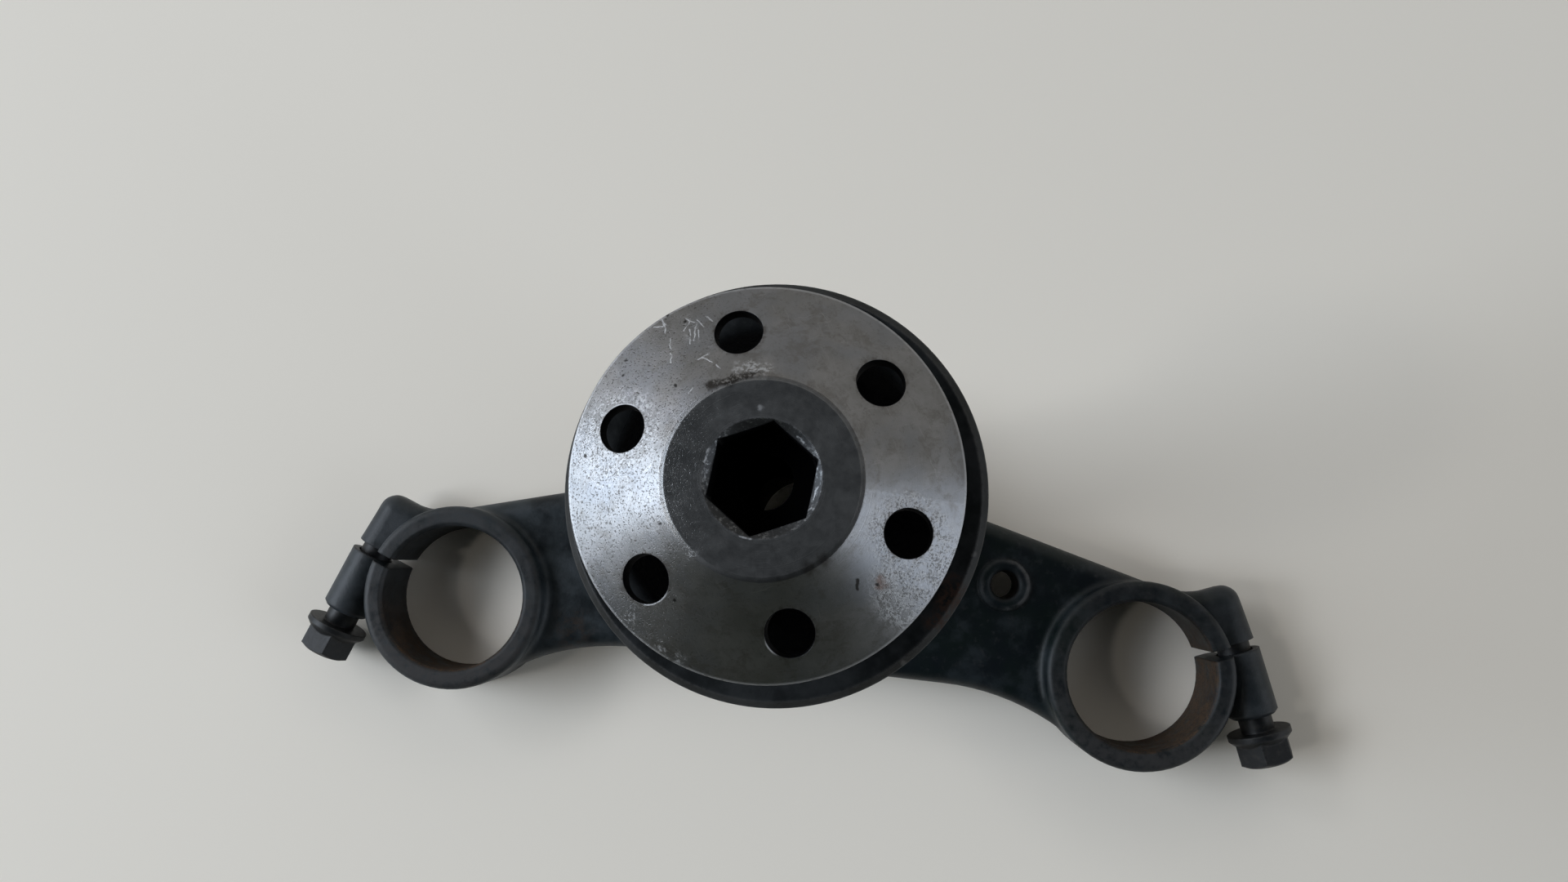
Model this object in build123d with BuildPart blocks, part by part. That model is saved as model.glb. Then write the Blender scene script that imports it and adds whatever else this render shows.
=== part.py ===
from build123d import *
import os
from math import asin, atan2, cos, degrees, hypot, pi, radians, sin, sqrt, tan

# Lower triple clamp of a motorcycle fork with its steering stem, off the bike and standing on its rings.
# The steering axis is Z and the yoke rests on Z = 0. The fork tubes stand in front of the stem, towards -Y.
# All sizes are in millimetres and angles in degrees.

# Fork rings
fork_spacing = 172.0
fork_setback = 28.2
fork_tube = 36.0
ring_wall = 5.0
ring_height = 18.0
ring_mouth_chamfer = 0.8
ring_edge_chamfer = 0.8
ring_edge_round = 1.8

# Arms between the rings and the stem boss
arm_bottom = 3.0
arm_top = 14.0
arm_front = 36.0
arm_rear = 18.0
arm_front_sweep = 60.0
arm_end_inset = 0.6
arm_top_round = 4.0
arm_bottom_chamfer = 1.2
ring_root_round = 2.0

# Split, rear lug and front boss of each ring
slit_turn = 21.0
slit_width = 2.5
pinch_reach = 25.7
pinch_height = 9.0
pinch_boss_radius = 6.0
front_boss_length = 17.3
front_boss_chamfer = 0.8
front_web_thickness = 7.0
front_web_length = 13.0
rear_lug_radius = 5.4
rear_lug_length = 15.5
rear_lug_draft = 3.0
rear_lug_round = 4.2
rear_blend_radius = 16.0
rear_blend_bite = 0.05

# Pinch bolts, flanged hexagon heads, backed off from their bosses
pinch_thread = 8.0
pinch_thread_play = 0.2
pinch_clearance_hole = 9.0
pinch_bolt_length = 30.0
pinch_back_off = 3.8
pinch_hex = 12.0
pinch_head_height = 8.1
pinch_head_face = 10.6
pinch_head_chamfer = 30.0
pinch_head_turn = -10.0
pinch_flange = 15.2
pinch_flange_rim = 1.4
pinch_flange_cone = 1.6
pinch_hole_beyond_tip = 2.0
pinch_end_chamfer = 1.0

# Small threaded boss on the right arm
bracket_boss_x = 51.5
bracket_boss_y = -9.9
bracket_boss_diameter = 13.0
bracket_boss_rise = 1.4
bracket_thread_drill = 6.8
bracket_thread_mouth = 0.8
bracket_boss_chamfer = 0.8

# Stem boss and steering stop of the yoke
stem_boss_diameter = 50.0
stem_boss_top = 20.0
stem_boss_edge = 1.5
stop_width = 18.0
stop_reach = 33.0
stop_round = 2.0

# Steering stem
stem_seat = 32.0
stem_spigot_rise = 1.6
stem_bore = 22.5
race_seat = 30.0
race_seat_length = 24.0
shank_diameter = 28.6
shank_step = 1.4
thread_diameter = 26.0
thread_length = 46.6
thread_taper_length = 6.0
stem_top = 162.6
stem_bolt_thread = 18.0
stem_bolt_thread_depth = 48.0
stem_bolt_play = 0.1
stem_bore_cone_angle = 60.0
stem_end_chamfer = 0.8

# Washer, dust seal and cone race at the foot of the stem
washer_diameter = 47.0
washer_thickness = 1.0
washer_play = 0.2
race_hub_diameter = 38.0
race_hub_height = 4.2
race_diameter = 45.0
race_rim = 2.2
race_height = 12.0
race_shoulder = 35.0
race_groove_sag = 1.3
seal_diameter = 48.4
seal_play = 0.3
seal_lip_height = 1.4
seal_lip_tip = 0.8

# Adjuster nut with its dust skirt
nut_diameter = 59.4
nut_below_stem_top = 17.4
nut_edge_chamfer = 1.0
nut_flange = 4.2
nut_skirt_height = 11.0
nut_skirt_wall = 2.2
nut_hub_diameter = 40.0
nut_hub_drop = 14.0
nut_collar_diameter = 38.0
nut_collar_height = 5.0
nut_notch_count = 4
nut_notch_width = 6.0
nut_notch_depth = 3.2
nut_thread_play = 0.1

# Stem bolt with its drilled cone head
head_diameter = 49.0
head_rim = 1.4
cone_slope = 32.0
head_face_diameter = 23.6
head_face_blend = 0.3
head_hole_count = 6
head_hole = 5.9
head_hole_circle = 36.6
head_hole_phase = 46.0
head_socket = 12.0
head_socket_depth = 6.0
head_socket_turn = 24.3
head_socket_mouth = 14.0
head_bore = 7.0
bolt_shank_length = 36.0
bolt_shank_chamfer = 1.2

# Places that follow from these sizes
fork_x = fork_spacing / 2
fork_y = -fork_setback
bore_radius = fork_tube / 2
ring_radius = bore_radius + ring_wall
arm_end_radius = ring_radius - arm_end_inset

# The rear edge of an arm is the line from the middle of the yoke that touches the circle of the arm's end.
rear_dx = fork_x
rear_dy = fork_y - arm_rear
rear_angle = atan2(rear_dy, rear_dx) + asin(arm_end_radius / hypot(rear_dx, rear_dy))
rear_touch = (fork_x - arm_end_radius * sin(rear_angle), fork_y + arm_end_radius * cos(rear_angle))

# The front edge runs straight and then sweeps round, hollow, until it touches the circle of the arm's end.
sweep_y = -arm_front - arm_front_sweep
sweep_x = fork_x - sqrt((arm_front_sweep + arm_end_radius) ** 2 - (fork_y - sweep_y) ** 2)
sweep_share = arm_front_sweep / (arm_front_sweep + arm_end_radius)
front_touch = (sweep_x + (fork_x - sweep_x) * sweep_share, sweep_y + (fork_y - sweep_y) * sweep_share)

# Frame of the right fork ring: X runs out along the slit, Y runs back along the pinch bolt.
slit_out = (cos(radians(slit_turn)), sin(radians(slit_turn)), 0)
slit_back = (-sin(radians(slit_turn)), cos(radians(slit_turn)), 0)
ring_plane = Plane(origin=(fork_x, fork_y, 0), x_dir=slit_out, z_dir=(0, 0, 1))
pinch_point = ring_plane.from_local_coords((pinch_reach, 0, pinch_height))
back_plane = Plane(origin=pinch_point, x_dir=slit_out, z_dir=slit_back)
front_plane = Plane(origin=pinch_point, x_dir=slit_out, z_dir=-Vector(slit_back))
pinch_axis = Axis(pinch_point, slit_back)
pinch_seat = front_boss_length + pinch_back_off
head_plane = front_plane.offset(pinch_seat)
pinch_tapped_hole = pinch_thread + pinch_thread_play
pinch_hole_depth = pinch_bolt_length - pinch_seat + pinch_hole_beyond_tip
slit_reach = 2 * pinch_reach

# The hollow between the rear lug and the ring is an arc that just bites into both of them.
lug_end_half = rear_lug_radius - rear_lug_length * tan(radians(rear_lug_draft))
blend_on_lug = rear_lug_length - rear_blend_bite
blend_on_ring = ring_radius - rear_blend_bite
blend_y = blend_on_lug + rear_blend_radius
blend_x = sqrt((blend_on_ring + rear_blend_radius) ** 2 - blend_y ** 2)
blend_share = blend_on_ring / (blend_on_ring + rear_blend_radius)
blend_ring_touch = (blend_x * blend_share, blend_y * blend_share)
blend_lug_touch = (blend_x, blend_on_lug)
blend_inside_y = blend_on_lug - 2 * rear_lug_radius
flange_cone_angle = degrees(atan2((pinch_flange - pinch_hex) / 2, pinch_flange_cone))

# Heights up the stem
washer_top = stem_boss_top + washer_thickness
race_seat_bottom = stem_boss_top + stem_spigot_rise
race_seat_top = race_seat_bottom + race_seat_length
thread_bottom = stem_top - thread_length
seal_inner = race_hub_diameter / 2 + seal_play
seal_body_top = race_seat_bottom + race_hub_height - seal_play
race_rim_foot = Vector(race_diameter / 2, race_seat_bottom + race_hub_height)
race_rim_top = race_rim_foot + Vector(0, race_rim)
race_shoulder_edge = Vector(race_shoulder / 2, race_seat_bottom + race_height)
race_slope = race_shoulder_edge - race_rim_top
race_inwards = Vector(-race_slope.Y, race_slope.X).normalized()
race_hollow = [
    race_rim_top + race_slope * share + race_inwards * (4 * race_groove_sag * share * (1 - share))
    for share in (1 / 3, 2 / 3)
]
stem_tapped_bore = stem_bolt_thread + stem_bolt_play
stem_bore_cone = (stem_bore - stem_tapped_bore) / 2 / tan(radians(stem_bore_cone_angle / 2))
stem_bore_top = stem_top - stem_bolt_thread_depth - stem_bore_cone
nut_top = stem_top - nut_below_stem_top
nut_thread = thread_diameter + nut_thread_play
head_top = stem_top + head_rim + (head_diameter - head_face_diameter) / 2 * tan(radians(cone_slope))
socket_mouth_depth = (head_socket_mouth - head_socket) / 2
bracket_mouth_radius = bracket_thread_drill / 2 + bracket_thread_mouth


def on_arm_outline(edge):
    """True for the free edges of an arm, away from the middle plane and the fork ring."""
    middle = edge.center()
    return middle.X > arm_end_inset and hypot(middle.X - fork_x, middle.Y - fork_y) > ring_radius


def off_ring(edge):
    """True for an edge whose middle stands clear of the fork ring's outer wall."""
    middle = edge @ 0.5
    return hypot(middle.X - fork_x, middle.Y - fork_y) > ring_radius + ring_root_round


def at_bore_mouth(edge):
    """True for the rims of the fork bore."""
    return abs(edge.radius - bore_radius) < ring_mouth_chamfer / 2


def at_bracket_mouth(edge):
    """True for the upper rim of the tapped hole in the right arm."""
    middle = edge.center(CenterOf.BOUNDING_BOX)
    off_axis = hypot(middle.X - bracket_boss_x, middle.Y - bracket_boss_y)
    small = edge.length < 2 * pi * bracket_mouth_radius
    return off_axis < bracket_thread_mouth and middle.Z > arm_top and small


os.makedirs("parts", exist_ok=True)

# Hollow blend between the right ring and its rear lug, with its upper and lower edges rounded like the lug's end.
with BuildPart() as rear_blend:
    with BuildSketch(ring_plane.offset(pinch_height - lug_end_half)):
        with BuildLine():
            RadiusArc(blend_ring_touch, blend_lug_touch, -rear_blend_radius)
            Line(blend_lug_touch, (blend_lug_touch[0], blend_inside_y))
            Line((blend_lug_touch[0], blend_inside_y), (blend_ring_touch[0], blend_inside_y))
            Line((blend_ring_touch[0], blend_inside_y), blend_ring_touch)
        make_face()
    extrude(amount=2 * lug_end_half)
    hollow_edges = rear_blend.edges().filter_by(GeomType.CIRCLE)
    fillet(hollow_edges, rear_lug_round)

# Lower yoke: one forging. The right half is made first, then mirrored, and the middle is added to both.
with BuildPart() as lower_yoke:
    # Arm, from the middle of the yoke out to the fork ring, with its top and bottom edges rounded
    with BuildSketch(Plane.XY.offset(arm_bottom)):
        with BuildLine():
            Line((0, -arm_front), (0, arm_rear))
            Line((0, arm_rear), rear_touch)
            Line(rear_touch, (fork_x, fork_y))
            Line((fork_x, fork_y), front_touch)
            RadiusArc(front_touch, (sweep_x, -arm_front), -arm_front_sweep)
            Line((sweep_x, -arm_front), (0, -arm_front))
        make_face()
    extrude(amount=arm_top - arm_bottom)
    arm_faces = lower_yoke.faces().sort_by(Axis.Z)
    fillet(arm_faces[-1].edges().filter_by(on_arm_outline), arm_top_round)
    chamfer(arm_faces[0].edges().filter_by(on_arm_outline), arm_bottom_chamfer)
    # Fork ring, standing proud of the arm and blended into it
    with BuildSketch():
        with Locations((fork_x, fork_y)):
            Circle(ring_radius)
    ring = extrude(amount=ring_height)
    chamfer(ring.edges().filter_by(GeomType.CIRCLE).sort_by(Axis.Z)[0], ring_edge_chamfer)
    ring_rim = lower_yoke.edges().filter_by(GeomType.CIRCLE).filter_by_position(Axis.Z, ring_height, ring_height)
    fillet(ring_rim, ring_edge_round)
    ring_root = lower_yoke.edges().filter_by(GeomType.CIRCLE).filter_by_position(Axis.Z, arm_top, arm_top)
    fillet(ring_root, ring_root_round)
    # Rear lug: a rounded block with draft, from the slit backwards
    with BuildSketch(back_plane):
        Circle(rear_lug_radius)
        with Locations((-pinch_reach / 2, 0)):
            Rectangle(pinch_reach, 2 * rear_lug_radius)
    extrude(amount=rear_lug_length, taper=rear_lug_draft)
    lug_end = lower_yoke.faces().filter_by(pinch_axis).sort_by(pinch_axis)[-1]
    fillet(lug_end.edges().filter_by(off_ring), rear_lug_round)
    add(rear_blend.part)
    # Front boss: a round barrel for the pinch bolt, tied to the ring by a thinner web
    with BuildSketch(front_plane):
        Circle(pinch_boss_radius)
    extrude(amount=front_boss_length)
    barrel_end = lower_yoke.faces().filter_by(pinch_axis).sort_by(pinch_axis)[0]
    chamfer(barrel_end.edges(), front_boss_chamfer)
    with BuildSketch(front_plane):
        with Locations((-pinch_reach / 2, 0)):
            Rectangle(pinch_reach, front_web_thickness)
    extrude(amount=front_web_length)
    # Fork bore with chamfered mouths, slit, and the hole for the pinch bolt
    with BuildSketch():
        with Locations((fork_x, fork_y)):
            Circle(bore_radius)
    extrude(amount=ring_height, mode=Mode.SUBTRACT)
    mouths = lower_yoke.edges().filter_by(GeomType.CIRCLE).filter_by(at_bore_mouth)
    chamfer(mouths, ring_mouth_chamfer)
    with BuildSketch(ring_plane):
        with Locations((slit_reach / 2, 0)):
            Rectangle(slit_reach, slit_width)
    extrude(amount=ring_height, mode=Mode.SUBTRACT)
    with BuildSketch(front_plane):
        Circle(pinch_clearance_hole / 2)
    extrude(amount=front_boss_length, mode=Mode.SUBTRACT)
    with BuildSketch(back_plane):
        Circle(pinch_tapped_hole / 2)
    extrude(amount=pinch_hole_depth, mode=Mode.SUBTRACT)
    mirror(about=Plane.YZ)
    # Stem boss and the steering stop behind it
    with BuildSketch(Plane.XY.offset(arm_bottom)):
        Circle(stem_boss_diameter / 2)
    extrude(amount=stem_boss_top - arm_bottom)
    chamfer(lower_yoke.faces().sort_by(Axis.Z)[-1].edges(), stem_boss_edge)
    with BuildSketch():
        with Locations((0, stop_reach / 2)):
            RectangleRounded(stop_width, stop_reach, stop_round)
    extrude(amount=arm_top)
    with BuildSketch():
        Circle(stem_seat / 2)
    extrude(amount=stem_boss_top, mode=Mode.SUBTRACT)
    # Small raised boss on the right arm, tapped right through
    with BuildSketch(Plane.XY.offset(arm_top)):
        with Locations((bracket_boss_x, bracket_boss_y)):
            Circle(bracket_boss_diameter / 2)
    extrude(amount=bracket_boss_rise)
    boss_rim = lower_yoke.edges().filter_by(GeomType.CIRCLE).filter_by_position(
        Axis.Z, arm_top + bracket_boss_rise, arm_top + bracket_boss_rise
    )
    chamfer(boss_rim, bracket_boss_chamfer)
    with Locations((bracket_boss_x, bracket_boss_y, arm_top + bracket_boss_rise)):
        Hole(bracket_thread_drill / 2)
    chamfer(lower_yoke.edges().filter_by(at_bracket_mouth), bracket_thread_mouth)
lower_yoke.part.label = "lower_yoke"
export_step(lower_yoke.part, "parts/lower_yoke.step")

# Steering stem: a turned tube pressed into the yoke, bored from below and threaded at the top.
with BuildPart() as steering_stem:
    with BuildSketch(Plane.XZ):
        with BuildLine():
            Polyline(
                (stem_bore / 2, arm_bottom),
                (stem_seat / 2, arm_bottom),
                (stem_seat / 2, race_seat_bottom),
                (race_seat / 2, race_seat_bottom),
                (race_seat / 2, race_seat_top),
                (shank_diameter / 2, race_seat_top + shank_step),
                (shank_diameter / 2, thread_bottom - thread_taper_length),
                (thread_diameter / 2, thread_bottom),
                (thread_diameter / 2, stem_top),
                (stem_tapped_bore / 2, stem_top),
                (stem_tapped_bore / 2, stem_bore_top + stem_bore_cone),
                (stem_bore / 2, stem_bore_top),
                close=True,
            )
        make_face()
    revolve(axis=Axis.Z)
    ends = steering_stem.edges().filter_by(GeomType.CIRCLE).group_by(Axis.Z)
    chamfer(ends[-1].sort_by(SortBy.RADIUS)[-1], stem_end_chamfer)
    chamfer(ends[0].sort_by(SortBy.RADIUS)[0], stem_end_chamfer)
steering_stem.part.label = "steering_stem"
export_step(steering_stem.part, "parts/steering_stem.step")

# Washer under the dust seal, round the stem's spigot
with BuildPart() as dust_seal_washer:
    with BuildSketch(Plane.XY.offset(stem_boss_top)):
        Circle(washer_diameter / 2)
        Circle(stem_seat / 2 + washer_play, mode=Mode.SUBTRACT)
    extrude(amount=washer_thickness)
dust_seal_washer.part.label = "dust_seal_washer"
export_step(dust_seal_washer.part, "parts/dust_seal_washer.step")

# Rubber dust seal on the washer, with a raised lip at its outer edge
with BuildPart() as lower_dust_seal:
    with BuildSketch(Plane.XZ):
        with BuildLine():
            Polyline(
                (seal_inner, washer_top),
                (seal_diameter / 2, washer_top),
                (seal_diameter / 2, seal_body_top + seal_lip_height),
                (seal_diameter / 2 - seal_lip_tip, seal_body_top + seal_lip_height),
                (race_diameter / 2 + seal_play, seal_body_top),
                (seal_inner, seal_body_top),
                close=True,
            )
        make_face()
    revolve(axis=Axis.Z)
lower_dust_seal.part.label = "lower_dust_seal"
export_step(lower_dust_seal.part, "parts/lower_dust_seal.step")

# Hardened cone race pressed on the stem, with the hollow that the balls ran in, worked as short cones
with BuildPart() as lower_cone_race:
    with BuildSketch(Plane.XZ):
        with BuildLine():
            Polyline(
                (race_seat / 2, race_seat_bottom),
                (race_hub_diameter / 2, race_seat_bottom),
                (race_hub_diameter / 2, race_seat_bottom + race_hub_height),
                race_rim_foot,
                race_rim_top,
                *race_hollow,
                race_shoulder_edge,
                (race_seat / 2, race_seat_bottom + race_height),
                close=True,
            )
        make_face()
    revolve(axis=Axis.Z)
lower_cone_race.part.label = "lower_cone_race"
export_step(lower_cone_race.part, "parts/lower_cone_race.step")

# Adjuster nut: a round nut on the stem's thread, with a flange, a skirt below it and a notched collar above.
with BuildPart() as adjuster_nut:
    with BuildSketch(Plane.XZ):
        with BuildLine():
            Polyline(
                (nut_thread / 2, nut_top - nut_hub_drop),
                (nut_hub_diameter / 2, nut_top - nut_hub_drop),
                (nut_hub_diameter / 2, nut_top - nut_flange),
                (nut_diameter / 2 - nut_skirt_wall, nut_top - nut_flange),
                (nut_diameter / 2 - nut_skirt_wall, nut_top - nut_skirt_height),
                (nut_diameter / 2, nut_top - nut_skirt_height),
                (nut_diameter / 2, nut_top),
                (nut_collar_diameter / 2, nut_top),
                (nut_collar_diameter / 2, nut_top + nut_collar_height),
                (nut_thread / 2, nut_top + nut_collar_height),
                close=True,
            )
        make_face()
    revolve(axis=Axis.Z)
    top_rings = adjuster_nut.edges().filter_by(GeomType.CIRCLE).filter_by_position(Axis.Z, nut_top, nut_top)
    chamfer(top_rings.sort_by(SortBy.RADIUS)[-1], nut_edge_chamfer)
    with BuildSketch(Plane.XY.offset(nut_top)):
        with PolarLocations(nut_collar_diameter / 2, nut_notch_count):
            Rectangle(2 * nut_notch_depth, nut_notch_width)
    extrude(amount=nut_collar_height, mode=Mode.SUBTRACT)
adjuster_nut.part.label = "adjuster_nut"
export_step(adjuster_nut.part, "parts/adjuster_nut.step")

# Stem bolt: turned cone head with a ring of axial holes, hexagon socket, and a hollow threaded shank.
with BuildPart() as stem_bolt:
    with BuildSketch(Plane.XZ):
        with BuildLine():
            Polyline(
                (head_bore / 2, stem_top - bolt_shank_length),
                (stem_bolt_thread / 2, stem_top - bolt_shank_length),
                (stem_bolt_thread / 2, stem_top),
                (head_diameter / 2, stem_top),
                (head_diameter / 2, stem_top + head_rim),
                (head_face_diameter / 2, head_top),
                (head_bore / 2, head_top),
                close=True,
            )
        make_face()
    revolve(axis=Axis.Z)
    bolt_rings = stem_bolt.edges().filter_by(GeomType.CIRCLE).group_by(Axis.Z)
    chamfer(bolt_rings[0].sort_by(SortBy.RADIUS)[-1], bolt_shank_chamfer)
    chamfer(bolt_rings[-1].sort_by(SortBy.RADIUS)[-1], head_face_blend)
    with BuildSketch(Plane.XY.offset(stem_top)):
        with PolarLocations(head_hole_circle / 2, head_hole_count, start_angle=head_hole_phase):
            Circle(head_hole / 2)
    extrude(amount=head_top - stem_top, mode=Mode.SUBTRACT)
    with BuildSketch(Plane.XY.offset(head_top)):
        RegularPolygon(head_socket / 2, 6, major_radius=False, rotation=head_socket_turn)
    extrude(amount=-head_socket_depth, mode=Mode.SUBTRACT)
    with Locations((0, 0, head_top - socket_mouth_depth / 2)):
        Cone(head_socket / 2, head_socket_mouth / 2, socket_mouth_depth, mode=Mode.SUBTRACT)
stem_bolt.part.label = "stem_bolt"
export_step(stem_bolt.part, "parts/stem_bolt.step")

# Pinch bolts: flanged hexagon bolts, one through the front boss of each ring into its rear lug.
with BuildPart() as pinch_bolts:
    with BuildSketch(head_plane):
        RegularPolygon(pinch_hex / 2, 6, major_radius=False, rotation=pinch_head_turn)
    extrude(amount=pinch_head_height)
    with BuildSketch(head_plane.offset(pinch_head_height)):
        Circle(pinch_head_face / 2)
    extrude(amount=-pinch_head_height, taper=pinch_head_chamfer - 90, mode=Mode.INTERSECT)
    with BuildSketch(head_plane):
        Circle(pinch_flange / 2)
    extrude(amount=pinch_flange_rim)
    with BuildSketch(head_plane.offset(pinch_flange_rim)):
        Circle(pinch_flange / 2)
    extrude(amount=pinch_flange_cone, taper=flange_cone_angle)
    with BuildSketch(head_plane):
        Circle(pinch_thread / 2)
    extrude(amount=-pinch_bolt_length)
    bolt_tip = pinch_bolts.faces().sort_by(pinch_axis)[-1]
    chamfer(bolt_tip.edges(), pinch_end_chamfer)
    mirror(about=Plane.YZ)
pinch_bolts.part.label = "pinch_bolts"
export_step(pinch_bolts.part, "parts/pinch_bolts.step")
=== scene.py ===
from math import cos, pi, radians, sin

import bpy
import numpy as np
from mathutils import Euler, Matrix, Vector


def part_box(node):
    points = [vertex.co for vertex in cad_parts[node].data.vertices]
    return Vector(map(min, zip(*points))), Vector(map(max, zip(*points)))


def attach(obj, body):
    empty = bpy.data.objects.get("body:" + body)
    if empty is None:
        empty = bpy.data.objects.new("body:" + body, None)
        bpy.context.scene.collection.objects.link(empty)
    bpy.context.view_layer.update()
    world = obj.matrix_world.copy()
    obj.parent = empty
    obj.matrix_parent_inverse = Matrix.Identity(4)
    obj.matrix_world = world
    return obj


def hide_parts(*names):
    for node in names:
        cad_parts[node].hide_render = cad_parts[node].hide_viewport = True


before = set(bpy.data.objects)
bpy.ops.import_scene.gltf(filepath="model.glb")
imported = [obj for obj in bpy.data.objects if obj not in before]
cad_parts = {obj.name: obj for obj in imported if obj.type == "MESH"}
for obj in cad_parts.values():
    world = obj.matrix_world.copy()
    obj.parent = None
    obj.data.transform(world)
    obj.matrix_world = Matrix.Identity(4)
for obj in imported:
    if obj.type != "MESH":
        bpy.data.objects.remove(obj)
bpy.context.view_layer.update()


# Lower yoke: a forged steel bar that carries a split ring for each fork tube.
# It was sprayed satin black all over. The ring faces and the edges are rubbed grey,
# and the bores have rusted.
class Wire:
    """One shader value. Arithmetic on wires adds Math nodes to the tree that they belong to."""

    def __init__(self, socket):
        self.socket = socket
        self.tree = socket.id_data

    def node(self, kind, sockets, out=0, **settings):
        """A new node: its settings first, then its sockets from numbers, colours or wires."""
        made = self.tree.nodes.new("ShaderNode" + kind)
        for name, value in settings.items():
            setattr(made, name, value)
        for key, value in sockets.items():
            if isinstance(value, Wire):
                self.tree.links.new(value.socket, made.inputs[key])
            else:
                made.inputs[key].default_value = value
        return Wire(made.outputs[out])

    def math(self, operation, first, second=0.0):
        return self.node("Math", {0: first, 1: second}, operation=operation)

    def __add__(self, other):
        return self.math("ADD", self, other)

    def __sub__(self, other):
        return self.math("SUBTRACT", self, other)

    def __rsub__(self, other):
        return self.math("SUBTRACT", other, self)

    def __mul__(self, other):
        return self.math("MULTIPLY", self, other)

    def __truediv__(self, other):
        return self.math("DIVIDE", self, other)

    def __pow__(self, other):
        return self.math("POWER", self, other)

    __radd__ = __add__
    __rmul__ = __mul__

    def rise(self, low, high):
        """0 below low, 1 above high and a smooth step between. With low above high it falls."""
        limits = {"Value": self, "From Min": low, "From Max": high}
        return self.node("MapRange", limits, interpolation_type="SMOOTHSTEP")

    def mix(self, colour, other):
        """The first colour where this wire is 0, the other where it is 1."""
        return self.node("Mix", {0: self, 6: colour, 7: other}, out=2, data_type="RGBA")

    def noise(self, scale, detail=2.0, rough=0.5):
        """Cloudy noise from 0 to 1 at this place, with about that many lumps to the millimetre."""
        return self.node("TexNoise", {"Vector": self, "Scale": scale, "Detail": detail, "Roughness": rough})

    def split(self):
        """The x, y and z of a place."""
        return [self.node("SeparateXYZ", {0: self}, out=axis) for axis in range(3)]


def new_finish(name):
    """A material with its shader and its place in the part's frame, in millimetres."""
    finish = bpy.data.materials.new(name)
    finish.use_nodes = True
    nodes = finish.node_tree.nodes
    place = Wire(nodes.new("ShaderNodeTexCoord").outputs["Object"])
    place = place.node("VectorMath", {0: place, "Scale": 1000.0}, operation="SCALE")
    return finish, nodes["Principled BSDF"], place


def set_shader(shader, **values):
    """Sets or links the shader's sockets, named in words with underscores."""
    for name, value in values.items():
        socket = shader.inputs[name.replace("_", " ")]
        if isinstance(value, Wire):
            value.tree.links.new(value.socket, socket)
        else:
            socket.default_value = value


def rounded_bump(height, rounding, depth):
    """A normal with edges rounded to a radius, and relief of height times depth, both in millimetres."""
    edge = height.node("Bevel", {"Radius": rounding / 1000}, samples=4)
    return height.node("Bump", {"Height": height, "Distance": depth / 1000, "Normal": edge})


def edge_mask(place, width):
    """1 along sharp edges and 0 beyond width millimetres from them: how far the rounded normal leans over."""
    lean = place.node("Bevel", {"Radius": width / 1000}, samples=4)
    face = place.node("NewGeometry", {}, out="Normal")
    alike = place.node("VectorMath", {0: lean, 1: face}, out="Value", operation="DOT_PRODUCT")
    return (1 - alike).rise(0.01, 0.12)


def ragged(place, size, reach):
    """The place shifted by noise of that size and reach in millimetres: a spot there gets a torn edge."""
    shift = place.node("TexNoise", {"Vector": place, "Scale": 1 / size, "Detail": 3.0}, out="Color")
    shift = place.node("VectorMath", {0: shift, 1: (0.5, 0.5, 0.5)}, operation="SUBTRACT")
    shift = place.node("VectorMath", {0: shift, "Scale": 2 * reach}, operation="SCALE")
    return place.node("VectorMath", {0: place, 1: shift}, operation="ADD")


def marks(place, centres, inner, outer):
    """1 within inner millimetres of any of the upright lines through the x, y centres, and 0 beyond outer."""
    flat = place.node("VectorMath", {0: place, 1: (1, 1, 0)}, operation="MULTIPLY")
    nearest = 1000.0
    for x, y in centres:
        away = flat.node("VectorMath", {0: flat, 1: (x, y, 0)}, out="Value", operation="DISTANCE")
        nearest = place.math("MINIMUM", away, nearest)
    return nearest.rise(outer, inner)


fork_x, fork_y, bore_radius, ring_wall, ring_top = 86.0, -28.2, 18.0, 5.0, 18.0
slit_turn, barrel_reach = radians(21.0), 20.0
boss_x, boss_y, boss_top, boss_radius, thread_radius = 51.5, -9.9, 15.4, 6.5, 3.4
blue_black, green_black = (0.0027, 0.0056, 0.0082, 1), (0.0027, 0.0076, 0.0072, 1)
grey_film, pale_fleck = (0.0150, 0.0208, 0.0245, 1), (0.024, 0.026, 0.028, 1)
arm_dust, barrel_dust = (0.036, 0.044, 0.051, 1), (0.036, 0.041, 0.046, 1)
rubbed_grey, rim_wear_and_highlight = (0.038, 0.037, 0.037, 1), (0.080, 0.082, 0.085, 1)
brown_stain, tapped_hole_shade_black = (0.026, 0.017, 0.012, 1), (0.0015, 0.0015, 0.0015, 1)
dark_rust, light_rust = (0.016, 0.013, 0.011, 1), (0.072, 0.041, 0.021, 1)
stain_place = [(-55.5, -33.0)]

yoke_paint, shader, place = new_finish("yoke_paint")
x, y, z = place.split()
beyond, behind = place.math("ABSOLUTE", x) - fork_x, y - fork_y
from_fork = (beyond ** 2 + behind ** 2) ** 0.5
along_slit = cos(slit_turn) * beyond + sin(slit_turn) * behind
on_ring = from_fork.rise(bore_radius + ring_wall + 1, bore_radius + ring_wall)
on_face = z.rise(ring_top - 0.7, ring_top - 0.1) * on_ring
in_bore = from_fork.rise(bore_radius + 0.6, bore_radius + 0.3)
left_side, front_side = x.rise(30.0, -30.0), behind.rise(4.0, -18.0)
cloud = place.noise(0.07, 3.0, 0.6)
mottle = place.noise(0.17, 4.0, 0.6)
fleck = place.noise(0.45, 5.0, 0.65)
grain = place.noise(2.4, 3.0, 0.6)

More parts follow.
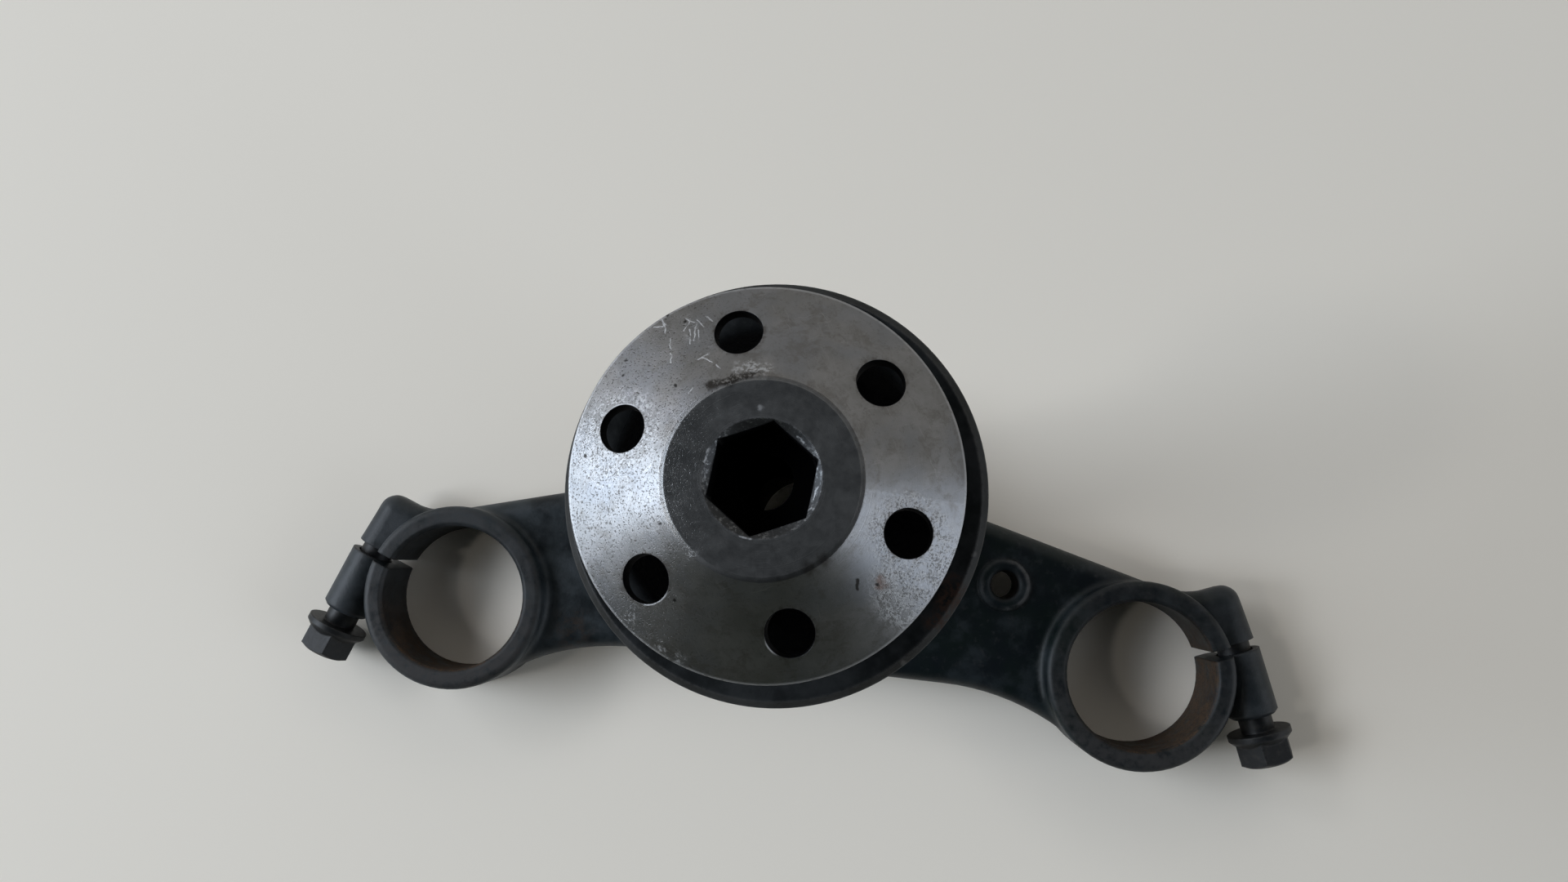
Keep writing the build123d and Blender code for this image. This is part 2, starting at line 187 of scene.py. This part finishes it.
paint = cloud.rise(0.35, 0.65).mix(blue_black, green_black)
paint = (0.9 * mottle.rise(0.45, 0.70)).mix(paint, grey_film)
paint = (0.8 * fleck.rise(0.54, 0.76)).mix(paint, pale_fleck)
dusty = left_side * (cloud + 0.5 * mottle).rise(0.55, 0.95)
paint = (0.8 * dusty).mix(paint, arm_dust)
barrel = along_slit.rise(barrel_reach, barrel_reach + 2.5) * (0.5 + 0.5 * mottle.rise(0.35, 0.65))
paint = (0.7 * barrel).mix(paint, barrel_dust)

boss = [(boss_x, boss_y)]
edge_wear = 0.85 * edge_mask(place, 1.2) * (fleck + 0.5 * grain).rise(0.45, 0.95)
face_wear = (0.3 + 0.3 * left_side + 0.55 * front_side) * on_face * (fleck + 0.4 * mottle).rise(0.40, 0.80)
rubbing = place.math("MAXIMUM", edge_wear, face_wear)
rubbing = rubbing * (1 - 0.85 * marks(place, boss, boss_radius + 0.4, boss_radius + 1.0))
paint = rubbing.mix(paint, rubbed_grey)
# The boss rim is rubbed bright, and painted brighter on its right side as a highlight.
boss_rim_wear_and_highlight = marks(place, boss, boss_radius - 0.2, boss_radius + 0.3) * z.rise(boss_top - 0.9, boss_top - 0.4)
boss_rim_wear_and_highlight = boss_rim_wear_and_highlight * (1 - marks(place, boss, boss_radius - 1.5, boss_radius - 0.7))
boss_rim_wear_and_highlight = boss_rim_wear_and_highlight * (0.12 + 0.88 * x.rise(boss_x - 2.0, boss_x + 4.0))
paint = (boss_rim_wear_and_highlight * (0.6 * fleck + 0.4 * mottle).rise(0.36, 0.60)).mix(paint, rim_wear_and_highlight)
stained = marks(ragged(place, 6.0, 5.0), stain_place, 1.0, 8.0) * fleck.rise(0.40, 0.62)
paint = (0.7 * stained).mix(paint, brown_stain)

right_lean = 0.8 * (x - fork_x) - 0.6 * behind
left_lean = 0.15 * (x + fork_x) - 0.98 * behind
lean = (left_side * left_lean + (1 - left_side) * right_lean).rise(-6.0, 15.0)
rust = in_bore * (0.1 + 0.9 * lean * (mottle + 0.4 * fleck).rise(0.45, 0.80))
rust_tone = (grain + 0.5 * fleck).rise(0.5, 1.0).mix(dark_rust, light_rust)
paint = rust.mix(paint, rust_tone)
# The tapped hole in the boss is painted near-black as the shade inside it.
in_thread = marks(place, boss, thread_radius + 0.1, thread_radius + 0.5)
set_shader(
    shader,
    Base_Color=in_thread.mix(paint, tapped_hole_shade_black),
    Roughness=0.36 + 0.18 * mottle + 0.25 * rust + 0.06 * rubbing,
    Normal=rounded_bump(mottle + 0.6 * fleck + 0.25 * grain, 0.8, 0.12),
    Specular_IOR_Level=0.28,
)
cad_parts["lower_yoke"].data.materials[0] = yoke_paint


# Steering stem: a steel tube turned all over, pressed into the yoke from below.
# Its top is cut with a fine thread for the adjuster nut, and the tube is hollow from end to end.
def turned_solid(name, radius, height, columns, cut):
    """A closed profile turned about Z. The grid point (i, j) stands at height[i] and angle[j], and its
    radius is radius[i] less the cut there. The grid closes on itself both ways. Sizes are in millimetres."""
    angle = np.linspace(0, 2 * pi, columns, endpoint=False)
    reach = radius[:, None] - cut(height[:, None], radius[:, None], angle[None, :])
    points = np.stack([reach * np.cos(angle), reach * np.sin(angle), height[:, None] + 0 * reach], axis=-1)
    here = np.arange(reach.size).reshape(reach.shape)
    above = np.roll(here, -1, 0)
    quads = np.stack([here, np.roll(here, -1, 1), np.roll(above, -1, 1), above], axis=-1)
    mesh = bpy.data.meshes.new(name)
    mesh.from_pydata((points.reshape(-1, 3) / 1000).tolist(), [], quads.reshape(-1, 4).tolist())
    mesh.polygons.foreach_set("use_smooth", np.ones(reach.size, bool))
    mesh.set_sharp_from_angle(angle=0.5)
    made = bpy.data.objects.new(name, mesh)
    bpy.context.scene.collection.objects.link(made)
    return made


def thread_groove(height, radius, angle):
    """Depth of a sharp helical groove on the outside of the stem's top, fading in over its first turn:
    depth * |2 * share - 1|, where share is the fraction of a pitch that the height stands above the helix."""
    share = (height / thread_pitch - angle / (2 * pi)) % 1
    on_crest = np.abs(radius - crest_radius) < end_chamfer / 2
    fade = on_crest * np.clip((height - thread_low) / thread_pitch, 0, 1)
    return thread_depth * fade * np.abs(2 * share - 1)


stem_foot, stem_top, end_chamfer = 3.0, 162.6, 0.8
seat_radius, seat_top, race_radius, race_top = 16.0, 21.6, 15.0, 45.6
shank_radius, shank_low, shank_top = 14.3, 47.0, 110.0
crest_radius, thread_low, thread_pitch, thread_depth = 13.0, 116.0, 1.0, 0.55
tube_radius, tube_top, tapped_radius, tapped_low = 11.25, 110.79, 9.05, 114.6
bare_steel, brown_grime = (0.42, 0.42, 0.41, 1), (0.060, 0.046, 0.035, 1)

thread_rows = np.arange(thread_low, stem_top - end_chamfer, thread_pitch / 8)
stem_outline = np.array(
    [(tube_radius + end_chamfer, stem_foot), (seat_radius, stem_foot), (seat_radius, seat_top)]
    + [(race_radius, seat_top), (race_radius, race_top), (shank_radius, shank_low), (shank_radius, shank_top)]
    + [(crest_radius, row) for row in thread_rows]
    + [(crest_radius - end_chamfer, stem_top), (tapped_radius, stem_top), (tapped_radius, tapped_low)]
    + [(tube_radius, tube_top), (tube_radius, stem_foot + end_chamfer)]
)
threaded_stem = turned_solid("threaded_stem", *stem_outline.T, columns=96, cut=thread_groove)

stem_steel, shader, place = new_finish("stem_steel")
x, y, z = place.split()
lathe = place.node("TexNoise", {"W": z, "Scale": 3.0, "Detail": 5.0}, noise_dimensions="1D")
film = place.noise(0.15, 6.0, 0.65)
pepper = place.noise(1.1, 4.0, 0.7)
drawn_down = place.node("Mapping", {"Vector": place, "Scale": (1.5, 1.5, 14.0)}, vector_type="TEXTURE")
runs = drawn_down.noise(1.0, 4.0, 0.6)
in_tube = ((x ** 2 + y ** 2) ** 0.5).rise(tube_radius + 0.65, tube_radius + 0.35)
grime = 0.7 * (0.45 * film + 0.35 * runs + 0.20 * pepper).rise(0.46, 0.68)
grime = place.math("MAXIMUM", grime, 0.9 * in_tube)
set_shader(
    shader,
    Base_Color=grime.mix(bare_steel, brown_grime),
    Metallic=1.0 - 0.6 * grime,
    Roughness=0.30 + 0.25 * grime + 0.08 * lathe,
    Normal=rounded_bump(lathe, 0.2, 0.02),
)
threaded_stem.data.materials.append(stem_steel)
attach(threaded_stem, "root")
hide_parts("steering_stem")


# Washer under the dust seal: a plain ring stamped from sheet steel.
# It is dull, and spotted with rust.
sheet_steel, rust_spot = (0.36, 0.36, 0.35, 1), (0.14, 0.10, 0.07, 1)

washer_steel, shader, place = new_finish("washer_steel")
spotting = place.noise(0.7, 4.0, 0.6)
set_shader(
    shader,
    Base_Color=spotting.rise(0.45, 0.7).mix(sheet_steel, rust_spot),
    Metallic=1.0 - 0.6 * spotting.rise(0.5, 0.75),
    Roughness=0.35 + 0.3 * spotting,
    Normal=rounded_bump(spotting, 0.15, 0.02),
)
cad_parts["dust_seal_washer"].data.materials[0] = washer_steel


# Dust seal: a soft black rubber ring with a raised lip that wipes on the frame.
# It is matt, with a grey bloom of road dust.
rubber_black, road_dust = (0.020, 0.020, 0.021, 1), (0.075, 0.070, 0.064, 1)

seal_rubber, shader, place = new_finish("seal_rubber")
bloom = place.noise(0.3, 4.0, 0.6)
set_shader(
    shader,
    Base_Color=bloom.rise(0.45, 0.75).mix(rubber_black, road_dust),
    Roughness=0.6 + 0.25 * bloom,
    Normal=rounded_bump(place.noise(3.0, 3.0), 0.3, 0.02),
)
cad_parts["lower_dust_seal"].data.materials[0] = seal_rubber


# Cone race: a hardened ring, pressed on the stem, with a ground hollow that the balls ran in.
# The hollow is bright, with old grease left at its foot.
race_foot, grease_top = 27.0, 32.0
hard_steel, old_grease = (0.50, 0.50, 0.50, 1), (0.10, 0.075, 0.045, 1)

race_steel, shader, place = new_finish("race_steel")
_, _, z = place.split()
grease = place.noise(0.12, 3.0).rise(0.42, 0.66) * z.rise(grease_top, race_foot)
ground = place.node("TexNoise", {"W": z, "Scale": 6.0, "Detail": 4.0}, noise_dimensions="1D")
set_shader(
    shader,
    Base_Color=grease.mix(hard_steel, old_grease),
    Metallic=1.0 - 0.8 * grease,
    Roughness=0.18 + 0.06 * ground + 0.3 * grease,
    Normal=rounded_bump(ground, 0.25, 0.01),
)
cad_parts["lower_cone_race"].data.materials[0] = race_steel


# Adjuster nut: a turned nut with a flange and a skirt that keep water out of the bearing.
# It is satin black. Its rim is rubbed to a thin bright line and rust shows on the flange. Its middle, under
# the bolt head, is painted near-black as shade and made glossy.
nut_radius, nut_top, shade_reach = 29.7, 145.2, 22.0
satin_black, grey_smear = (0.0034, 0.0048, 0.0056, 1), (0.0180, 0.0205, 0.0225, 1)
front_grey, grit_grey = (0.0260, 0.0285, 0.0300, 1), (0.035, 0.035, 0.035, 1)
bare_rim, flange_rust = (0.085, 0.085, 0.085, 1), (0.038, 0.020, 0.014, 1)
painted_shade_black = (0.0009, 0.0009, 0.0010, 1)
chip_places = ((25.0, 16.9), (28.3, -5.6), (20.1, -21.4))
rust_places = ((25.8, -10.6), (25.3, -12.4), (24.4, -15.0))

nut_black, shader, place = new_finish("nut_black")
x, y, z = place.split()
out = (x ** 2 + y ** 2) ** 0.5
smear = place.noise(0.16, 4.0, 0.65)
grit = place.noise(1.3, 4.0, 0.65)
black = smear.rise(0.35, 0.7).mix(satin_black, grey_smear)
greyed = y.rise(-18.0, -28.0) * x.rise(-20.0, -8.0) * (0.4 + 0.6 * smear.rise(0.35, 0.65))
black = (0.6 * greyed).mix(black, front_grey)
black = (0.5 * grit.rise(0.60, 0.85)).mix(black, grit_grey)
rim = edge_mask(place, 0.6) * out.rise(nut_radius - 2, nut_radius - 1) * grit.rise(0.25, 0.55)
chip = marks(ragged(place, 0.8, 0.3), chip_places, 0.1, 0.6) * z.rise(nut_top - 2.0, nut_top - 1.0)
black = (0.8 * rim + 0.7 * chip).mix(black, bare_rim)
rust_patch = marks(ragged(place, 2.0, 2.2), rust_places, 0.6, 2.6)
rust_patch = rust_patch * grit.rise(0.36, 0.56) * z.rise(nut_top - 4.0, nut_top - 1.5)
black = (0.95 * rust_patch).mix(black, flange_rust)
# The nut's middle under the bolt head is painted near-black as shade, and made glossy.
shaded_middle = out.rise(shade_reach + 2.5, shade_reach)
set_shader(
    shader,
    Base_Color=shaded_middle.mix(black, painted_shade_black),
    Roughness=0.38 + 0.14 * smear + 0.25 * rust_patch - 0.30 * shaded_middle,
    Normal=rounded_bump(grit + smear, 0.45 * (1 - shaded_middle), 0.05),
    Specular_IOR_Level=0.22,
)
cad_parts["adjuster_nut"].data.materials[0] = nut_black


# Stem bolt: turned from a steel bar, with a shallow cone head, six holes through it and a hexagon socket.
# The bare steel has a fine turned finish. It is scuffed and pitted. Glints are painted white on some hole
# edges, with a highlight line on the outer lip, and the insides of the holes and the socket are painted
# near-black as shade.
def streaks(place, turn, length, width, low, high):
    """Short strokes at turn degrees in the XY plane: noise drawn out to a length and width in millimetres."""
    stroke = {"Vector": place, "Rotation": (0, 0, radians(turn)), "Scale": (length, width, 5.0)}
    drawn = place.node("Mapping", stroke, vector_type="TEXTURE")
    return drawn.noise(1.0, 2.0, 0.5).rise(low, high)


def scored(place, lines, inner, outer):
    """1 within inner millimetres of any of the lines from x, y to x, y seen from above, 0 beyond outer."""
    flat = place.node("VectorMath", {0: place, 1: (1, 1, 0)}, operation="MULTIPLY")
    nearest = 1000.0
    for start_x, start_y, end_x, end_y in lines:
        run = np.array([end_x - start_x, end_y - start_y, 0])
        offset = flat.node("VectorMath", {0: flat, 1: (start_x, start_y, 0)}, operation="SUBTRACT")
        gauge = (run / run.dot(run)).tolist()
        share = flat.node("VectorMath", {0: offset, 1: gauge}, out="Value", operation="DOT_PRODUCT")
        share = flat.node("Clamp", {"Value": share})
        foot = flat.node("VectorMath", {0: run.tolist(), "Scale": share}, operation="SCALE")
        away = flat.node("VectorMath", {0: offset, 1: foot}, out="Value", operation="DISTANCE")
        nearest = flat.math("MINIMUM", away, nearest)
    return nearest.rise(outer, inner)


head_radius, _, head_top = [1000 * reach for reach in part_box("stem_bolt")[1]]
rim_top, face_radius, socket_radius = 164.0, 11.8, 7.0
hole_circle, hole_radius, hole_phase, hole_step = 18.3, 2.95, radians(46.0), pi / 3
dull_steel, light_steel = (0.212, 0.212, 0.212, 1), (0.268, 0.268, 0.272, 1)
blue_steel, brown_steel = (0.205, 0.217, 0.240, 1), (0.135, 0.126, 0.116, 1)
grey_steel, scratch_steel = (0.150, 0.146, 0.142, 1), (0.42, 0.42, 0.42, 1)
dull_face, light_face = (0.23, 0.239, 0.247, 1), (0.36, 0.369, 0.377, 1)
white_wear_and_glint, pit_brown = (0.58, 0.59, 0.61, 1), (0.060, 0.056, 0.053, 1)
rim_brown, scar_black = (0.075, 0.066, 0.058, 1), (0.030, 0.027, 0.024, 1)
red_rust, dent_shade_black = (0.150, 0.085, 0.060, 1), (0.020, 0.019, 0.018, 1)
mouth_grime, hole_shade_black = (0.040, 0.040, 0.041, 1), (0.006, 0.006, 0.007, 1)
crust_places = ((17.8, -4.4), (20.9, -7.9), (18.9, -11.0), (-17.8, 4.4), (-19.4, 2.4))
dust_places = ((-11.2, 18.3), (-10.6, 16.8), (-8.5, 14.3))
chalk_places, smudge_place = ((-2.6, 12.9), (-1.4, 12.9), (-3.7, 12.6)), [(-0.9, 8.1)]
scrape_places = ((-14.9, -18.1), (-13.9, -17.2), (-10.5, -21.3), (-8.2, -22.4), (-7.2, -9.5))
glint_places = ((-11.9, -16.0), (-10.6, -15.2), (2.9, -19.6), (-17.2, 7.3), (-18.6, 7.2))
smear_places, rust_place = ((8.1, -8.6), (6.6, -9.8)), [(15.1, -10.6)]
dent_places = (
    (-14.6, 19.6), (-12.1, 18.7), (-18.9, 13.2), (-18.9, 11.2), (-11.6, 10.0),
    (-22.4, 0.8), (-11.3, -6.5), (14.7, -10.8), (-8.9, -15.2),
)
scuff_lines = (
    (-15.6, 19.1, -14.7, 18.2), (-15.1, 18.7, -14.5, 17.1), (-16.0, 17.9, -15.0, 17.9),
    (-12.2, 19.1, -10.9, 18.6), (-11.6, 18.9, -11.9, 17.3), (-10.7, 19.0, -9.6, 18.1),
    (-11.2, 17.5, -11.0, 15.5), (-10.6, 18.3, -10.5, 16.2), (-10.2, 17.6, -9.9, 16.4),
    (-13.6, 16.3, -13.1, 15.0), (-13.2, 14.3, -12.7, 13.0), (-9.3, 13.6, -8.2, 14.4),
    (-9.0, 14.0, -7.7, 13.4), (-9.5, 19.6, -8.7, 19.1), (-9.8, 9.1, -9.4, 9.9),
    (-7.0, 13.1, -6.4, 12.5), (-14.2, -0.7, -13.4, 0.5), (-13.9, -0.6, -13.0, 0.9),
)
nick_lines = (
    (-6.5, 2.7, -6.8, 0.9), (5.7, 3.3, 6.3, 1.9), (6.6, -0.3, 6.3, -1.9),
    (6.0, -2.7, 5.4, -3.7), (-0.3, -7.0, -1.6, -6.8), (3.4, 5.3, 4.4, 4.6),
)
scar_lines, cut_line = ((-7.2, 10.1, -4.0, 11.5), (-4.0, 11.5, -2.0, 12.0)), [(12.1, -10.5, 12.4, -11.6)]

bolt_steel, shader, place = new_finish("bolt_steel")
x, y, z = place.split()
out = (x ** 2 + y ** 2) ** 0.5
turn = place.math("ARCTAN2", y, x)
spread = hole_step * (place.math("FRACT", (turn - hole_phase) / hole_step + 0.5) - 0.5)
hole_out = (out ** 2 + hole_circle ** 2 - 2 * hole_circle * out * place.math("COSINE", spread)) ** 0.5
cloud = place.noise(0.20, 5.0, 0.65)
fleck = place.noise(0.9, 5.0, 0.7)
speckle = place.noise(2.4, 3.0, 0.6)
grain = place.noise(3.6, 2.0, 0.6)
clump = 0.5 * fleck + 0.5 * speckle
turning = {"W": out, "Scale": 7.0, "Detail": 6.0, "Roughness": 0.7}
lathe = place.node("TexNoise", turning, noise_dimensions="1D")
torn, bent = ragged(place, 1.2, 0.9), ragged(place, 2.0, 0.6)
torn_out = out + 0.7 * fleck
left_half = x.rise(-2.0, -14.0)

# Steel of the cone, with stains and a blue tint, and the duller flat face round the socket
steel = cloud.rise(0.3, 0.7).mix(dull_steel, light_steel)
tint = place.noise(0.11, 3.0, 0.6).rise(0.42, 0.62)
steel = (0.5 * tint).mix(steel, blue_steel)
stain = ragged(place, 3.0, 2.5).noise(0.34, 6.0, 0.7).rise(0.50, 0.66)
steel = (0.48 * stain).mix(steel, brown_steel)
steel = (0.30 * fleck.rise(0.50, 0.68)).mix(steel, grey_steel)
on_flat = torn_out.rise(face_radius + 0.6, face_radius + 0.1) * z.rise(head_top - 2.0, head_top - 0.9)
face = (0.6 * cloud + 0.4 * fleck).rise(0.35, 0.65).mix(dull_face, light_face)
steel = on_flat.mix(steel, face)

# Fine scratches all over, and pits that are thickest on the left and in the crusts by two of the holes
long_scratches = streaks(bent, turn=24, length=9.0, width=0.13, low=0.67, high=0.72)
cross_scratches = streaks(bent, turn=118, length=7.0, width=0.12, low=0.68, high=0.73)
steel = (0.3 * place.math("MAXIMUM", long_scratches, cross_scratches)).mix(steel, scratch_steel)
crust = marks(torn, crust_places, 3.4, 6.2)
pitted = (0.30 + 0.70 * left_half) * grain.rise(0.56, 0.66) * (fleck + 0.3 * left_half).rise(0.45, 0.75)
pitted = place.math("MAXIMUM", pitted, 0.9 * crust * grain.rise(0.50, 0.62) * fleck.rise(0.42, 0.58))
steel = (0.75 * pitted).mix(steel, pit_brown)

# White wear and painted highlights: scuffs, dust, chalk, crusts, scrapes and the socket's nicks, with painted
# glints on hole edges and a painted highlight line on the worn outer lip
scuffs = 0.9 * scored(bent, scuff_lines, 0.02, 0.13) * speckle.rise(0.30, 0.55)
dusted = 0.4 * marks(torn, dust_places, 0.3, 2.0) * clump.rise(0.50, 0.62)
chalk = 0.75 * marks(torn, chalk_places, 0.5, 1.7) * clump.rise(0.46, 0.60)
smudge = 0.5 * marks(torn, smudge_place, 0.1, 0.6)
crusted = 0.75 * crust * clump.rise(0.45, 0.57) * (1 - pitted)
scrapes = 0.6 * marks(torn, scrape_places, 0.3, 1.3) * clump.rise(0.48, 0.60)
# Glints painted white at points on the hole edges: painted highlights.
glints = marks(place, glint_places, 0.4, 1.4) * hole_out.rise(hole_radius + 0.35, hole_radius + 0.15)
# A thin white line round the outer lip: rubbed steel, and a painted highlight.
lip_highlight = out.rise(head_radius - 0.35, head_radius - 0.15) * z.rise(rim_top - 0.35, rim_top - 0.15)
lip_highlight = 0.42 * lip_highlight * fleck.rise(0.30, 0.50)
nicks = 0.8 * scored(bent, nick_lines, 0.05, 0.18) * clump.rise(0.38, 0.52)
wear_and_glints = scuffs
for wear in (dusted, chalk, smudge, crusted, scrapes, glints, lip_highlight, nicks):
    wear_and_glints = place.math("MAXIMUM", wear_and_glints, wear)
steel = (0.85 * wear_and_glints).mix(steel, white_wear_and_glint)

# Dark marks: brown hole rims and smears, a scar by the flat face, rust, the dirty socket mouth, dents painted
# as dots of shade, and painted shade inside the holes and the socket
rims = hole_out.rise(hole_radius + 0.7, hole_radius + 0.1) * fleck.rise(0.40, 0.62) * (1 - wear_and_glints)
steel = (0.6 * place.math("MAXIMUM", rims, marks(torn, smear_places, 0.3, 1.2))).mix(steel, rim_brown)
scar = scored(torn, scar_lines, 0.25, 0.85) * clump.rise(0.40, 0.52)
scar = place.math("MAXIMUM", scar, scored(bent, cut_line, 0.1, 0.3))
steel = (0.9 * scar).mix(steel, scar_black)
steel = (0.6 * marks(torn, rust_place, 0.3, 1.1)).mix(steel, red_rust)
# Dents are painted as near-black dots: the shade inside them.
steel = (0.9 * marks(ragged(place, 0.5, 0.25), dent_places, 0.10, 0.32)).mix(steel, dent_shade_black)
mouth = torn_out.rise(socket_radius + 0.7, socket_radius + 0.3) * clump.rise(0.66, 0.50) * (1 - nicks)
steel = (0.85 * mouth).mix(steel, mouth_grime)
# The walls inside the holes and the socket are painted near-black as shade.
in_hole = hole_out.rise(hole_radius + 0.12, hole_radius + 0.04)
in_socket = out.rise(socket_radius + 0.1, socket_radius - 0.3) * z.rise(head_top - 0.7, head_top - 1.2)
painted_hole_shade = place.math("MAXIMUM", in_hole, in_socket)
set_shader(
    shader,
    Base_Color=painted_hole_shade.mix(steel, hole_shade_black),
    Metallic=1.0 - 0.45 * wear_and_glints,
    Roughness=0.25 + 0.07 * cloud + 0.08 * fleck + 0.18 * wear_and_glints + 0.2 * mouth + 0.5 * painted_hole_shade,
    Normal=rounded_bump(lathe + wear_and_glints - pitted, 0.25, 0.012),
)
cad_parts["stem_bolt"].data.materials[0] = bolt_steel


# Pinch bolts: flanged hexagon bolts that close the rings on the fork tubes, here backed off a few turns.
# They are dull black, with rubbed corners and a little rust.
scale_black, scale_brown = (0.004, 0.005, 0.006, 1), (0.016, 0.015, 0.014, 1)
rubbed_corner = (0.050, 0.048, 0.046, 1)

pinch_black, shader, place = new_finish("pinch_bolt_black")
scale = place.noise(0.6, 4.0, 0.65)
black = scale.rise(0.45, 0.75).mix(scale_black, scale_brown)
corners = edge_mask(place, 0.7) * scale.rise(0.3, 0.6)
set_shader(
    shader,
    Base_Color=(0.8 * corners).mix(black, rubbed_corner),
    Roughness=0.36 + 0.25 * scale,
    Normal=rounded_bump(scale, 0.5, 0.06),
    Specular_IOR_Level=0.35,
)
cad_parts["pinch_bolts"].data.materials[0] = pinch_black


# Stage: a pale floor, soft windows of light low on the left and right, a wide one and a small one higher up,
# a dim studio round them, and the camera over the stem.
def soft_box(name, azimuth, elevation, distance, width, height, power, colour):
    """A rectangular lamp that faces the bolt's head from a direction in degrees and a distance in metres."""
    across, up = radians(azimuth), radians(elevation)
    away = np.array([cos(up) * cos(across), cos(up) * sin(across), sin(up)])
    side = np.array([-sin(across), cos(across), 0])
    axes = np.stack([side, np.cross(away, side), away], axis=1)
    lamp = bpy.data.lights.new(name, "AREA")
    lamp.shape, lamp.size, lamp.size_y = "RECTANGLE", width, height
    lamp.energy, lamp.color = power, colour
    box = bpy.data.objects.new(name, lamp)
    box.matrix_world = Matrix.Translation(distance * away + (0, 0, lamp_aim)) @ Matrix(axes.tolist()).to_4x4()
    bpy.context.scene.collection.objects.link(box)


floor_reach, lamp_aim = 15.0, 0.15
camera_place, camera_turn = (0.009871, -0.008538, 0.303843), (5.994, 2.725, 6.271)
sensor_width, focal_length = 36.0, 26.25
warm_white = (0.98, 0.92, 0.82, 1)
blue_light, pale_blue_light = (0.72, 0.85, 1.0), (0.80, 0.88, 1.0)
cool_light, warm_light = (0.88, 0.92, 1.0), (1.0, 0.96, 0.90)
front_wall, back_wall, horizon = (0.036, 0.044, 0.033, 1), (0.43, 0.425, 0.41, 1), (0.35, 0.35, 0.34, 1)
bright_band = (0.80, 0.77, 0.72, 1)
front_ceiling, back_ceiling = (0.004, 0.005, 0.006, 1), (0.084, 0.086, 0.088, 1)

floor_mesh = bpy.data.meshes.new("floor")
floor_corners = [(floor_reach * x, floor_reach * y, 0) for x, y in ((-1, -1), (1, -1), (1, 1), (-1, 1))]
floor_mesh.from_pydata(floor_corners, [], [(0, 1, 2, 3)])
floor = bpy.data.objects.new("floor", floor_mesh)
bpy.context.scene.collection.objects.link(floor)
floor_paint, shader, _ = new_finish("floor_paint")
set_shader(shader, Base_Color=warm_white, Roughness=0.7, Specular_IOR_Level=0.2)
floor_mesh.materials.append(floor_paint)

soft_box(
    "left_window", azimuth=184, elevation=24, distance=2.5,
    width=1.3, height=1.7, power=27.5, colour=blue_light,
)
soft_box(
    "left_skylight", azimuth=173, elevation=32, distance=2.5,
    width=2.6, height=0.5, power=31.0, colour=cool_light,
)
soft_box(
    "right_window", azimuth=-14, elevation=17, distance=2.5,
    width=1.7, height=1.2, power=13.0, colour=pale_blue_light,
)
soft_box(
    "high_window", azimuth=199, elevation=47.5, distance=3.0,
    width=0.25, height=0.25, power=3.5, colour=warm_light,
)

world = bpy.data.worlds.new("studio")
bpy.context.scene.world = world
world.use_nodes = True
direction = Wire(world.node_tree.nodes.new("ShaderNodeTexCoord").outputs["Generated"])
x, y, z = direction.split()
wall = (0.5 + 0.5 * y).mix(front_wall, back_wall)
wall = z.rise(0.0, 0.10).mix(horizon, wall)
wall = (z.rise(0.42, 0.52) * y.rise(-0.5, 0.1)).mix(wall, bright_band)
ceiling = y.rise(-0.10, 0.28).mix(front_ceiling, back_ceiling)
set_shader(world.node_tree.nodes["Background"], Color=z.rise(0.58, 0.70).mix(wall, ceiling))

lens = bpy.data.cameras.new("camera")
lens.sensor_width, lens.lens = sensor_width, focal_length
camera = bpy.data.objects.new("camera", lens)
camera_angles = Euler([radians(turn) for turn in camera_turn])
camera.matrix_world = Matrix.LocRotScale(camera_place, camera_angles, None)
bpy.context.scene.collection.objects.link(camera)
bpy.context.scene.camera = camera
bpy.context.scene.view_settings.view_transform = "Standard"
